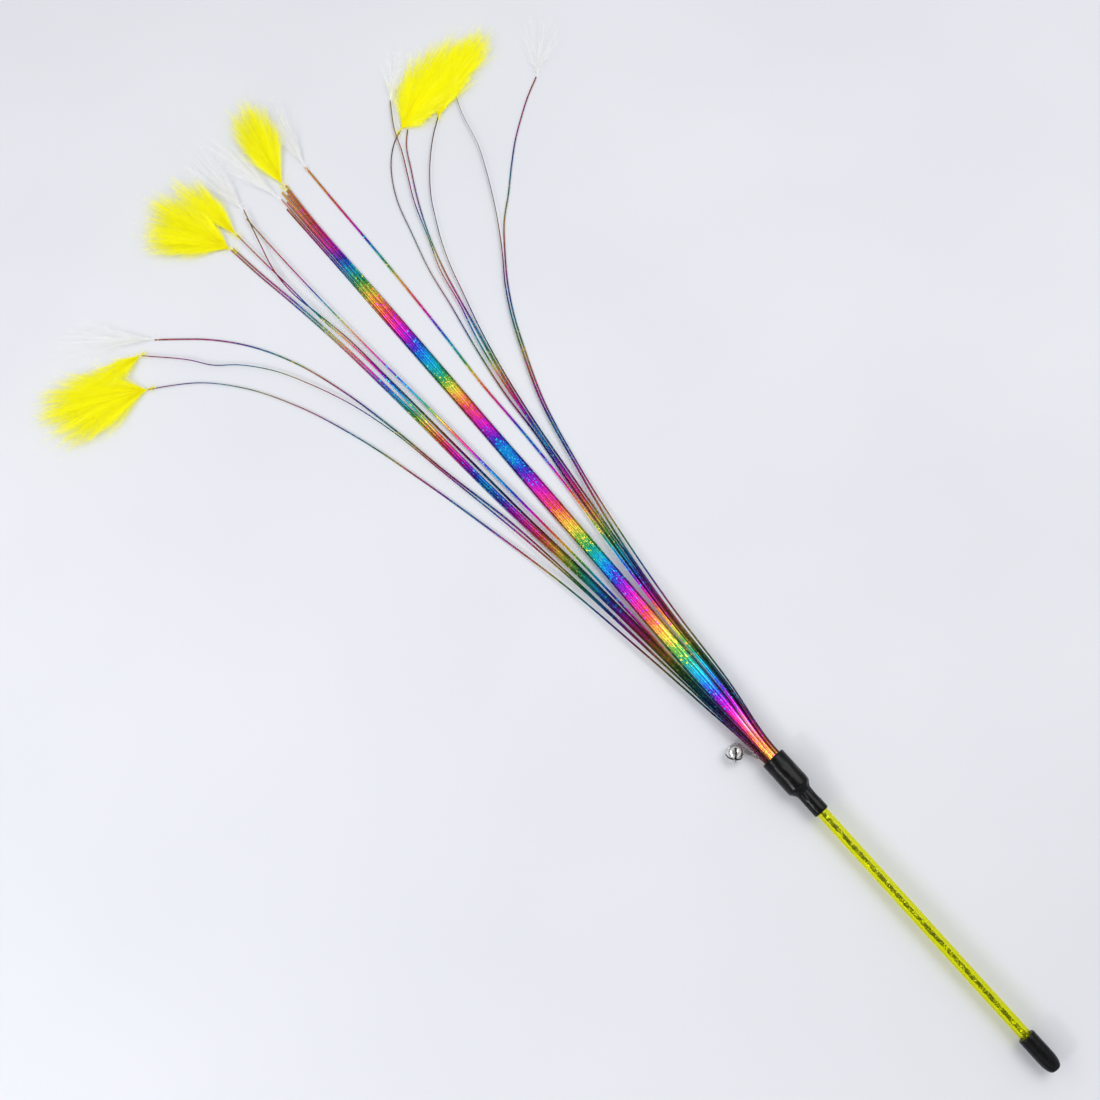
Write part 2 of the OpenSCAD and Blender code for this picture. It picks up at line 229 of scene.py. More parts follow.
def new_piece(name, verts, faces, material, smooth=True, crease=35):
    """A mesh piece from vertices in mm."""
    mesh = bpy.data.meshes.new(name)
    mesh.from_pydata([tuple(v * MM) for v in verts], [], faces)
    mesh.update()
    if smooth:
        mesh.shade_smooth()
        mesh.set_sharp_from_angle(angle=math.radians(crease))
    piece = bpy.data.objects.new(name, mesh)
    scene.collection.objects.link(piece)
    mesh.materials.append(material)
    return piece


def point_values(piece, name, values, kind="FLOAT"):
    """Gives every vertex of a piece a value of its own, for its material."""
    layer = piece.data.attributes.new(name, kind, "POINT")
    if kind == "FLOAT":
        layer.data.foreach_set("value", values)
    else:
        layer.data.foreach_set("vector", [x for v in values for x in v])


def ring_faces(rings, sides, first=0):
    """Faces of a closed tube of rings of vertices, with its two ends."""
    faces = []
    for i in range(rings - 1):
        for k in range(sides):
            a = first + i * sides + k
            b = first + i * sides + (k + 1) % sides
            faces.append((a, a + sides, b + sides, b))
    last = first + (rings - 1) * sides
    faces.append(tuple(range(first, first + sides)))
    faces.append(tuple(reversed(range(last, last + sides))))
    return faces


def along(P):
    """Unit directions along a line of points."""
    last = len(P) - 1
    return [(P[min(i + 1, last)] - P[max(i - 1, 0)]).normalized() for i in range(len(P))]


def lathe(name, outer, inner, radius_at, material):
    """A turned piece about the Y axis: outer and inner are lists of (r, y), nose to end."""
    segments = 120
    line = outer + inner[::-1]
    verts, faces = [], []
    for i, (r, y) in enumerate(line):
        for k in range(segments):
            a = 2 * math.pi * k / segments
            radius = radius_at(r, y, a) if i < len(outer) else r
            verts.append(Vector((radius * math.cos(a), y, radius * math.sin(a))))
    n = len(line)
    closed_on_axis = line[0][0] < 0.01 and line[-1][0] < 0.01
    for i in range(n - 1 if closed_on_axis else n):
        here, after = i * segments, (i + 1) % n * segments
        for k in range(segments):
            k2 = (k + 1) % segments
            faces.append((here + k, after + k, after + k2, here + k2))
    return new_piece(name, verts, faces, material, crease=40)


# ---------------------------------------------------------------- materials

def set_stops(ramp, stops):
    """Gives a colour ramp its list of (place, colour)."""
    elements = ramp.elements
    elements[0].position, elements[1].position = stops[0][0], stops[-1][0]
    elements[0].color, elements[1].color = stops[0][1], stops[-1][1]
    for place, colour in stops[1:-1]:
        elements.new(place).color = colour


def grey(v):
    return (v, v, v, 1)


class Nodes:
    """A small builder for one material's nodes."""

    def __init__(self, name):
        self.material = bpy.data.materials.new(name)
        self.material.use_nodes = True
        self.tree = self.material.node_tree
        self.tree.nodes.clear()
        self.out = self.tree.nodes.new("ShaderNodeOutputMaterial")

    def add(self, kind, inputs=None, **settings):
        node = self.tree.nodes.new(kind)
        for key, value in settings.items():
            setattr(node, key, value)
        for key, value in (inputs or {}).items():
            if isinstance(value, bpy.types.NodeSocket):
                self.tree.links.new(value, node.inputs[key])
            else:
                node.inputs[key].default_value = value
        return node

    def value(self, operation, a, b=0.0):
        return self.add("ShaderNodeMath", {0: a, 1: b}, operation=operation).outputs[0]

    def blend(self, fac, a, b):
        return self.add("ShaderNodeMix", {0: fac, 6: a, 7: b}, data_type="RGBA").outputs[2]

    def scale(self, colour, by):
        return self.add("ShaderNodeVectorMath", {0: colour, "Scale": by},
            operation="SCALE").outputs[0]

    def ramp(self, fac, stops):
        node = self.add("ShaderNodeValToRGB", {"Fac": fac})
        set_stops(node.color_ramp, stops)
        return node.outputs["Color"]

    def remap(self, value, low, high, to_low, to_high):
        return self.add("ShaderNodeMapRange", {"Value": value, "From Min": low,
            "From Max": high, "To Min": to_low, "To Max": to_high}).outputs[0]

    def own_value(self, name):
        """The node that reads what point_values() gave the piece."""
        return self.add("ShaderNodeAttribute", attribute_name=name)

    def object_place(self):
        return self.add("ShaderNodeTexCoord").outputs["Object"]

    def noise(self, place, scale, detail):
        return self.add("ShaderNodeTexNoise", {"Vector": place, "Scale": scale,
            "Detail": detail}).outputs["Fac"]

    def bump(self, height, distance, strength):
        return self.add("ShaderNodeBump", {"Height": height, "Distance": distance,
            "Strength": strength}).outputs["Normal"]

    def finish(self, shader):
        self.tree.links.new(shader.outputs[0], self.out.inputs["Surface"])
        return self.material


def black_vinyl():
    """Soft moulded vinyl: a fine grain over slow waves, which also vary the gloss."""
    n = Nodes("black_vinyl")
    place = n.object_place()
    fine = n.noise(place, 2600, 4)
    wide = n.noise(place, 260, 3)
    rough = n.remap(wide, 0.3, 0.7, 0.2, 0.32)
    colour = n.ramp(wide, [(0.3, (0.002, 0.002, 0.003, 1)), (0.7, (0.005, 0.005, 0.006, 1))])
    normal = n.bump(fine, 0.00002, 0.5)
    soft = n.bump(wide, 0.00025, 0.6)
    n.tree.links.new(soft, normal.node.inputs["Normal"])
    shader = n.add("ShaderNodeBsdfPrincipled", {"Base Color": colour, "Roughness": rough,
        "Normal": normal, "Specular IOR Level": 0.16})
    return n.finish(shader)


def neon_tube():
    """Clear tinted plastic with flow lines along it, dyed body colour with a little painted glow,
    and fine scuffs.
    """
    n = Nodes("neon_tube")
    place = n.object_place()
    streak = n.add("ShaderNodeMapping", {"Vector": place, "Scale": (900, 25, 900)}).outputs[0]
    flow = n.noise(streak, 1.0, 3)
    tint = n.ramp(flow, [(0.3, (0.97, 0.97, 0.05, 1)), (0.7, (1.0, 1.0, 0.12, 1))])
    body = n.ramp(flow, [(0.3, (0.74, 0.86, 0.004, 1)), (0.7, (0.84, 0.93, 0.012, 1))])
    clear = n.add("ShaderNodeBsdfTransparent", {"Color": tint})
    # The dyed body colour is the plastic's own; its emission is a painted glow.
    dyed_body_and_painted_glow = n.add("ShaderNodeBsdfPrincipled", {"Base Color": body, "Roughness": 0.3,
        "Emission Color": (0.78, 0.90, 0.01, 1), "Emission Strength": 0.6})
    inside = n.add("ShaderNodeMixShader", {0: 0.03, 1: clear.outputs[0], 2: dyed_body_and_painted_glow.outputs[0]})
    scuff = n.noise(place, 1500, 4)
    gloss = n.add("ShaderNodeBsdfGlossy", {"Roughness": 0.07,
        "Normal": n.bump(scuff, 0.00001, 0.4)})
    rim = n.value("MULTIPLY", n.add("ShaderNodeFresnel", {"IOR": 1.45}).outputs[0], 0.4)
    shader = n.add("ShaderNodeMixShader", {0: rim, 1: inside.outputs[0], 2: gloss.outputs[0]})
    return n.finish(shader)


def crumpled_foil():
    """Foil with painted shade in its folds and painted highlights on its facets."""
    n = Nodes("foil")
    place = n.object_place()
    cells = n.add("ShaderNodeTexVoronoi", {"Vector": place, "Scale": 1500.0})
    wide = n.noise(place, 420, 3)
    tone = n.value("ADD", n.value("MULTIPLY", cells.outputs["Distance"], 0.5), wide)
    # The colour runs from painted shade, near black, to a painted highlight, pale yellow.
    colour = n.ramp(tone, [(0.35, (0.004, 0.005, 0.001, 1)), (0.7, (0.03, 0.034, 0.004, 1)),
        (0.84, (0.24, 0.27, 0.03, 1)), (1.0, (0.9, 0.95, 0.3, 1))])
    shader = n.add("ShaderNodeBsdfPrincipled", {"Base Color": colour, "Metallic": 0.75,
        "Roughness": 0.28, "Normal": n.bump(wide, 0.0003, 0.7)})
    return n.finish(shader)


def glue():
    """Set hot-melt."""
    n = Nodes("glue")
    lumps = n.noise(n.object_place(), 700, 3)
    colour = n.ramp(lumps, [(0.3, (0.32, 0.27, 0.15, 1)), (0.7, (0.50, 0.44, 0.28, 1))])
    shader = n.add("ShaderNodeBsdfPrincipled", {"Base Color": colour, "Roughness": 0.35,
        "Normal": n.bump(lumps, 0.0004, 0.8)})
    return n.finish(shader)


def plated(name, tone, rough, dents):
    """Plated steel, a little uneven, with finger-worn gloss."""
    n = Nodes(name)
    place = n.object_place()
    wide = n.noise(place, 500, 3)
    fine = n.noise(place, 3500, 4)
    colour = n.ramp(wide, [(0.3, grey(tone * 0.8)), (0.7, grey(tone))])
    shader = n.add("ShaderNodeBsdfPrincipled", {"Base Color": colour, "Metallic": 1.0,
        "Roughness": n.remap(fine, 0.3, 0.7, rough * 0.7, rough * 1.4),
        "Normal": n.bump(wide, dents, 0.6)})
    return n.finish(shader)


def metallic_cord():
    """Silver thread with painted glints in specks, over a colour darkened by painted shade."""
    n = Nodes("metallic_cord")
    place = n.object_place()
    glint = n.noise(place, 2200, 2)
    # Near black to pale by a fine noise: painted shade, and painted glints in the brightest
    # specks.
    colour = n.ramp(glint, [(0.43, grey(0.03)), (0.53, (0.25, 0.25, 0.28, 1)), (0.64, grey(0.85))])
    shader = n.add("ShaderNodeBsdfPrincipled", {"Base Color": colour, "Metallic": 0.45,
        "Roughness": 0.4, "Normal": n.bump(glint, 0.00006, 0.8)})
    return n.finish(shader)


# One turn of the film's bands of colour, from green.
RAINBOW = [
    (0.00, (0.010, 0.300, 0.120, 1)),
    (0.09, (0.170, 0.460, 0.050, 1)),
    (0.20, (0.800, 0.620, 0.060, 1)),
    (0.29, (0.850, 0.330, 0.060, 1)),
    (0.38, (0.740, 0.080, 0.060, 1)),
    (0.47, (0.780, 0.030, 0.280, 1)),
    (0.55, (0.680, 0.010, 0.520, 1)),
    (0.63, (0.260, 0.010, 0.560, 1)),
    (0.70, (0.030, 0.030, 0.560, 1)),
    (0.79, (0.005, 0.230, 0.760, 1)),
    (0.89, (0.005, 0.420, 0.560, 1)),
    (1.00, (0.010, 0.300, 0.120, 1)),
]


def rainbow_film():
    """Bands of colour by the strand's own phase, with flakes that turn to other colours, and
    painted shade, glints, highlight and glow.
    """
    n = Nodes("rainbow_film")
    flow = n.own_value("flow").outputs["Vector"]
    phase = n.own_value("phase").outputs["Fac"]
    shade = n.own_value("shade").outputs["Fac"]
    flakes = n.add("ShaderNodeTexVoronoi", {"Vector": flow, "Scale": 1100.0})
    parts = n.add("ShaderNodeSeparateColor", {"Color": flakes.outputs["Color"]})
    turn = n.value("MULTIPLY", n.value("SUBTRACT", parts.outputs[0], 0.5), 0.07)
    bright_flake = n.value("GREATER_THAN", parts.outputs[1], 0.88)
    jump = n.value("MULTIPLY", bright_flake, n.value("MULTIPLY", parts.outputs[2], 0.22))
    hue = n.value("FRACT", n.value("ADD", n.value("ADD", phase, turn), jump))
    colour = n.ramp(hue, RAINBOW)
    # dark is the colour's painted shade and painted light from the strand's "shade" value, with a
    # random tone per flake.
    dark = n.value("MULTIPLY", shade, n.remap(parts.outputs[2], 0, 1, 0.75, 1.15))
    # Bright flakes get a painted glint, stronger where the strand is lighter.
    glint = n.value("ADD", n.value("MULTIPLY", shade, 0.5), 0.12)
    lit = n.value("ADD", dark, n.value("MULTIPLY", bright_flake, glint))
    grain = n.noise(flow, 4000, 2)
    # "shine" blends in a painted pale highlight.
    shine = n.own_value("shine").outputs["Fac"]
    final = n.blend(shine, n.scale(colour, lit), (1.0, 0.78, 0.86, 1))
    # The emission is a painted glow that lifts the film's colours.
    shader = n.add("ShaderNodeBsdfPrincipled", {"Base Color": final, "Metallic": 0.75,
        "Roughness": 0.22, "Normal": n.bump(grain, 0.00003, 0.4), "Emission Color": final,
        "Emission Strength": 0.22})
    return n.finish(shader)


def feather(name, root, mid, tip, halo, glow):
    """Down: colour along each barb from its own place value, with a tone per barb."""
    n = Nodes(name)
    place = n.own_value("place").outputs["Fac"]
    tone = n.own_value("tone").outputs["Fac"]
    # The colour is darker towards the root: painted shade where the barbs lie over each other near
    # the quill.
    colour = n.ramp(place, [(0.0, root), (0.3, mid), (0.75, tip), (1.0, halo)])
    # glow sets a painted glow, as of light through the thin down.
    shader = n.add("ShaderNodeBsdfPrincipled", {"Base Color": n.scale(colour, tone),
        "Roughness": 0.85, "Sheen Weight": 0.04, "Specular IOR Level": 0.1,
        "Emission Color": tip, "Emission Strength": glow})
    return n.finish(shader)


VINYL = black_vinyl()
TUBE = neon_tube()
FOIL = crumpled_foil()
GLUE = glue()
BELL = plated("bell_metal", 0.82, 0.16, 0.0002)
PELLET = plated("pellet_steel", 0.45, 0.35, 0.0001)
CORD = metallic_cord()
FILM = rainbow_film()
FEATHER = {
    "yellow": feather("yellow_feather", (0.70, 0.58, 0.003, 1), (0.92, 0.88, 0.001, 1),
        (0.95, 0.935, 0.002, 1), (0.97, 0.97, 0.34, 1), 0.15),
    "white": feather("white_feather", (0.85, 0.85, 0.83, 1), (0.95, 0.95, 0.94, 1),
        (0.97, 0.97, 0.96, 1), (0.98, 0.98, 0.97, 1), 0.1),
}


# ---------------------------------------------------------------- film strands

# Where along the wand (mm) each spray's bands stand, as turns round the rainbow from green.
BANDS = [(203, -0.74), (215, -0.66), (240, -0.42), (258, -0.2), (275, 0), (290, 0.18),
    (320, 0.53), (345, 0.8), (360, 1), (380, 1.26), (400, 1.47), (425, 1.72), (439, 1.8),
    (450, 1.66), (460, 1.54), (472, 1.42), (485, 1.28), (502, 1), (515, 0.85), (545, 0.53),
    (572, 0.26), (589, 0), (602, -0.2), (620, -0.46), (645, -0.64), (670, -0.73),
    (690, -0.8)]
SPRAY_SHIFT = {"far_left": -14, "left": -9, "centre": 0, "right": -6, "far_right": -10}
# Diameter of a CAD strand, thickness of the film, and the step between a strip's rings.
FILM_D, FILM_T, FILM_STEP = 1.0, 0.26, 2.5
# Width of the flat strips, which lap over each other like tiles in the middle sprays, and the
# width that all but the centre's taper to, from a place along the wand and over a length.
FILM_W = {"far_left": 1.1, "left": 1.5, "centre": 1.32, "right": 1.45, "far_right": 1.15}
TIP_W, TAPER_FROM, TAPER_OVER = 0.85, 460, 120
# Roll of the flat strips about their own line, in degrees, at the mouth and at the tip, and
# the place along the wand and the length over which it changes.
ROLL_CHANGE, CENTRE_ROLL_CHANGE = (300, 330), (500, 140)
ROLL = {"far_left": (20, 40), "left": (14, 28), "centre": (7, 7), "right": (-14, -28),
    "far_right": (-20, -20)}
TIP_ROLL = {"far_left_2": 74, "far_left_3": 80, "right_1": -52, "right_4": -50, "right_5": -50,
    "centre_1": 50, "centre_2": 74, "centre_3": 62, "centre_4": 20, "centre_5": 74,
    "centre_6": 16, "centre_7": 36}
# The centre strips stop short of their plumes' roots by these lengths.
SHORT_BY = {"centre_1": 9, "centre_2": 2, "centre_3": 7, "centre_5": 5, "centre_6": 2}
# Painted shade and painted light of a strip: its brightness at the mouth, half way and at the tip,
# and the places along the wand and the lengths over which it changes to the second and to the
# third.
TO_HALF_WAY, TO_TIP = (230, 170), (500, 130)
SHADE = {"far_left": (0.06, 0.32, 0.3), "left": (0.08, 0.78, 0.36), "centre": (1.35, 1.2, 0.6),
    "right": (0.06, 0.66, 0.36), "far_right": (0.04, 0.36, 0.4)}
STRIP_SHADE = {"left_1": (0.06, 0.4, 0.28), "left_4": (0.06, 0.16, 0.3),
    "centre_1": (0.2, 0.3, 0.3), "centre_7": (0.16, 0.4, 0.4),
    "centre_8": (1.2, 0.8, 0.6), "right_1": (0.06, 0.4, 0.13), "right_4": (0.06, 0.3, 0.13),
    "right_5": (0.06, 0.3, 0.08)}
# Painted light at the mouth: the least brightness there of the columns of strips beside the
# centre. It fades out over MOUTH_FADE, up to MOUTH_END.
MOUTH_SHADE = {-2: 0.5, 2: 1.15, 3: 0.3}
MOUTH_END, MOUTH_FADE = 250, 48
# Painted shade at the edges of a strip: how much darker they are than its middle, in the outer
# sprays and in the centre.
DARK_EDGE = (0.8, 0.2)
# The strips with a painted pale glint near the mouth, and its place, half length and strength.
GLINTING = {"centre_5", "centre_7", "centre_8"}
GLINT_Y, GLINT_HALF, GLINT = 224, 12, 0.75


def phase_at(y, shift):
    """Turns round the rainbow at a place along the wand."""
    y = y - shift
    for (a, pa), (b, pb) in zip(BANDS, BANDS[1:]):
        if y <= b:
            return mix(pa, pb, min(max((y - a) / (b - a), 0), 1))
    return BANDS[-1][1]


def film_strand(spray, number, column, row, layer, route):
    """A flat strip of printed film along a strand's line, rolling slowly about it."""
    rng = random.Random(f"{spray}{number}")
    key = f"{spray}_{number}"
    P = strand_line(column, row, layer, route, FILM_STEP)
    P = P[:len(P) - round(SHORT_BY.get(key, 0) / FILM_STEP)]
    D = along(P)
    centre = spray == "centre"
    tip_w = FILM_W[spray] if centre else TIP_W
    edge = DARK_EDGE[centre]
    roll_mouth, roll_tip = ROLL[spray]
    roll_tip = TIP_ROLL.get(key, roll_tip)
    roll_from, roll_over = CENTRE_ROLL_CHANGE if centre else ROLL_CHANGE
    wander = rng.uniform(-9, 9)
    sides = 10
    verts, flow, phase, shade, shine = [], [], [], [], []
    run = 0
    at_mouth, half_way, at_tip = STRIP_SHADE.get(key, SHADE[spray])
    strand_tone = rng.uniform(0.86, 1.06)
    for i, p in enumerate(P):
        if i:
            run += (p - P[i - 1]).length
        t = fade((p.y - roll_from) / roll_over)
        wide = mix(FILM_W[spray], tip_w, fade((p.y - TAPER_FROM) / TAPER_OVER))
        roll = math.radians(mix(roll_mouth, roll_tip, t) + wander * math.sin(run / 60))
        side = D[i].cross(UP).normalized()
        up = side.cross(D[i])
        across = side * math.cos(roll) + up * math.sin(roll)
        proud = up * math.cos(roll) - side * math.sin(roll)
        # tone is the strip's painted shade and painted light along the wand, times its own random
        # tone.
        tone = mix(at_mouth, half_way, fade((p.y - TO_HALF_WAY[0]) / TO_HALF_WAY[1]))
        tone = strand_tone * mix(tone, at_tip, fade((p.y - TO_TIP[0]) / TO_TIP[1]))
        tone = max(tone, MOUTH_SHADE.get(column, 0) * fade((MOUTH_END - p.y) / MOUTH_FADE))
        here = phase_at(p.y, SPRAY_SHIFT[spray]) + 0.02 * math.sin(run / 23 + number)
        # gloss here is a painted highlight, not a finish of the film.
        near = max(0, 1 - abs(p.y - GLINT_Y) / GLINT_HALF)
        gloss = GLINT * near if key in GLINTING else 0
        for k in range(sides):
            a = 2 * math.pi * k / sides
            c, s = math.cos(a), math.sin(a)
            verts.append(p + across * (wide / 2 * c) + proud * (FILM_T / 2 * s))
            flow.append((run * MM, c * wide / 2 * MM, (number + 10 * abs(column)) * 0.05))
            phase.append(here)
            # Painted shade darkens the strip's edges, and the glint strips get a painted highlight
            # across their middle.
            shade.append(tone * (1 - edge * abs(c) ** 3))
            shine.append(gloss * max(0, 1 - abs(c) * 1.1))
    piece = new_piece(f"{spray}_film_{number}", verts, ring_faces(len(P), sides), FILM,
        crease=60)
    point_values(piece, "flow", flow, "FLOAT_VECTOR")
    point_values(piece, "phase", phase)
    point_values(piece, "shade", shade)
    point_values(piece, "shine", shine)
    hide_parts(f"{spray}_strand_{number}")
    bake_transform(piece)


for spray, strands in SPRAYS.items():
    for strand in strands:
        film_strand(spray, *strand)


# ---------------------------------------------------------------- cord loop

LOOP_ROUTE = [(-4.5, 200, -3), (-4.6, 204, -3), (-5.3, 208, -3), (-6.4, 212, -3.2),
    (-7.2, 216, -3.4), (-7.7, 219, -3.4), (-8.5, 221.3, -3.6), (-9.7, 222.1, -4.2),
    (-10.2, 221.5, -5.2), (-10.6, 221, -6.2), (-9.8, 219.6, -6.6), (-8.6, 217, -6.6),
    (-7, 213, -6.2), (-5.6, 209, -5.2), (-4.4, 205.5, -4.3), (-3.7, 203, -3.7),
    (-3.5, 200, -3.3)]
# The cord, and its two twisted plies: how far each is off the cord's line, and its radius.
LOOP_D, TWIST_PITCH = 0.7, 2.2
PLY_OFFSET, PLY_R = 0.16, 0.185


def twisted_loop():
    """Two plies twisted about the loop's line, from the sleeve through the eye and back."""
    P = smooth_curve(LOOP_ROUTE, 0.25)
    D = along(P)
    run = P[len(P) // 2] - P[0]
    flat = Vector((run.y, -run.x, 0)).normalized()
    verts, faces = [], []
    sides, plies = 8, 2
    for ply in range(plies):
        first = len(verts)
        travel = 0
        for i, p in enumerate(P):
            if i:
                travel += (p - P[i - 1]).length
            side = (flat - D[i] * flat.dot(D[i])).normalized()
            up = side.cross(D[i])
            turn = 2 * math.pi * (travel / TWIST_PITCH + ply / plies)
            core = p + (side * math.cos(turn) + up * math.sin(turn)) * PLY_OFFSET
            for k in range(sides):
                a = 2 * math.pi * k / sides
                verts.append(core + (side * math.cos(a) + up * math.sin(a)) * PLY_R)
        faces += ring_faces(len(P), sides, first)
    piece = new_piece("bell_cord", verts, faces, CORD)
    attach(piece, "loop")
    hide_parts("bell_loop")


twisted_loop()


# ---------------------------------------------------------------- plumes

# (spray, number, colour, base x, base y, outline, barbs) in mm; an outline is a list of
# (heading in degrees from +X, reach), which gives the plume's fan, and barbs is their number.
PLUMES = [
    ("far_left", 1, "white", -111.8, 634, [(126, 42), (138, 58), (152, 58), (164, 42)], 230),
    ("far_left", 2, "yellow", -124, 629, [(158, 18), (172, 46), (188, 42), (206, 20)], 190),
    ("far_left", 3, "yellow", -134, 607.5, [(120, 34), (130, 50), (146, 64), (158, 66),
        (172, 61), (186, 59), (194, 36)], 1300),
    ("left", 1, "yellow", -38.4, 656.5, [(84, 40), (96, 60), (110, 64), (128, 56), (144, 54),
        (152, 34)], 1150),
    ("left", 2, "yellow", -29.4, 662.5, [(76, 26), (86, 50), (98, 58), (110, 44)], 330),
    ("left", 3, "white", -15, 674.5, [(74, 36), (84, 58), (97, 62), (106, 40)], 220),
    ("centre", 1, "yellow", 15.6, 674.5, [(58, 46), (66, 62), (76, 72), (84, 68), (92, 54),
        (99, 32)], 900),
    ("centre", 2, "white", 7.4, 669, [(86, 44), (94, 62), (103, 64), (112, 40)], 220),
    ("centre", 3, "white", 35.4, 677.5, [(66, 42), (75, 60), (84, 60), (94, 36)], 210),
    ("right", 1, "yellow", 101.6, 659.2, [(-24, 15), (-8, 30), (4, 50), (14, 76), (24, 84),
        (34, 72), (45, 54), (56, 34)], 1350),
    ("right", 2, "yellow", 126.2, 650.8, [(14, 40), (24, 68), (34, 66), (50, 50), (70, 30)], 760),
    ("right", 3, "yellow", 147.8, 662.2, [(8, 36), (18, 52), (30, 52), (46, 36), (70, 22)], 560),
    ("right", 4, "white", 109.8, 682.2, [(20, 30), (32, 42), (50, 44), (66, 30)], 130),
    ("far_right", 1, "white", 197.4, 634.8, [(20, 34), (36, 48), (56, 50), (74, 34)], 120),
]


# How high the middle of a plume of each colour stands, and the radius of its barbs, of its
# quill, and of its barbules outside and inside the halo of thin barbs round it.
PUFF = {"yellow": 5, "white": 3}
THICK = {"yellow": 0.16, "white": 0.04}
QUILL = {"yellow": 0.32, "white": 0.16}
THIN = {"yellow": (0.05, 0.03), "white": (0.022, 0.022)}
# The share of barbs in the thin halo, and the number of hairs of fluff at the root.
HALO_SHARE = {"yellow": 0.26, "white": 0.3}
ROOT_FLUFF = {"yellow": 50, "white": 18}
BARB_STEPS, BARBULES = 7, 9
# Nothing of a plume is lower than these heights above the surface.
BARB_CLEAR, BARBULE_CLEAR = 0.3, 0.25


class Down:
    """Collects barbs and barbules into one mesh."""

    def __init__(self):
        self.verts, self.faces, self.place, self.tone = [], [], [], []

    def hair(self, line, r0, r1, tone, places, sides=3):
        """A tapered hair along the line, drawn to a point at its end."""
        first = len(self.verts)
        D = along(line)
        last = len(line) - 1
        for i, p in enumerate(line[:-1]):
            r = mix(r0, r1, i / last)
            side = D[i].cross(UP)
            side = side.normalized() if side.length > 1e-3 else Vector((1, 0, 0))
            up = side.cross(D[i])
            for k in range(sides):
                a = 2 * math.pi * k / sides
                self.verts.append(p + (side * math.cos(a) + up * math.sin(a)) * r)
                self.place.append(places[0] + (places[1] - places[0]) * i / last)
                self.tone.append(tone)
        self.verts.append(line[-1])
        self.place.append(places[1])
        self.tone.append(tone)
        for i in range(last - 1):
            for k in range(sides):
                a, b = first + i * sides + k, first + i * sides + (k + 1) % sides
                self.faces.append((a, a + sides, b + sides, b))
        end = first + (last - 1) * sides
        for k in range(sides):
            self.faces.append((end + k, end + sides, end + (k + 1) % sides))
        self.faces.append(tuple(range(first, first + sides)))


def reach_at(outline, heading):
    """How far the plume's outline is from its root on a heading."""
    for (a, ra), (b, rb) in zip(outline, outline[1:]):
        if heading <= b:
            return mix(ra, rb, fade((max(heading, a) - a) / (b - a)))
    return outline[-1][1]


